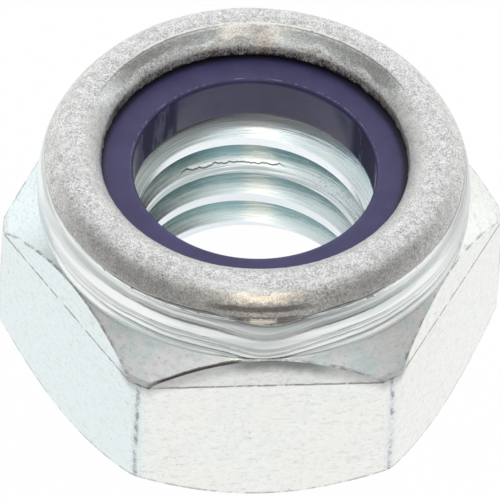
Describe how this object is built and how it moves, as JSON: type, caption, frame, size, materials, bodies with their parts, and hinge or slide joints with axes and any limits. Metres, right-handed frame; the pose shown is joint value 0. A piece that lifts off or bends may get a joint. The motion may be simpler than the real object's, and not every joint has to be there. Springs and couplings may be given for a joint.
{
  "type": "nylon insert lock nut",
  "caption": "Hexagon lock nut with a right-hand metric thread and a rolled collar that holds a purple nylon locking ring.",
  "frame": {"origin": "centre of the bearing face, on the thread axis", "axes": "+Z along the thread axis, from the bearing face up through the collar; -Y square to one flat of the hexagon"},
  "size_m": [0.0184, 0.016, 0.01],
  "materials": {
    "plated_steel": "bright zinc plating, matte grain on the rolled collar",
    "nylon": "satin moulded nylon, dull purple"
  },
  "bodies": {
    "root": {"nut_body": "plated_steel", "nylon_insert": "nylon"}
  },
  "joints": []
}
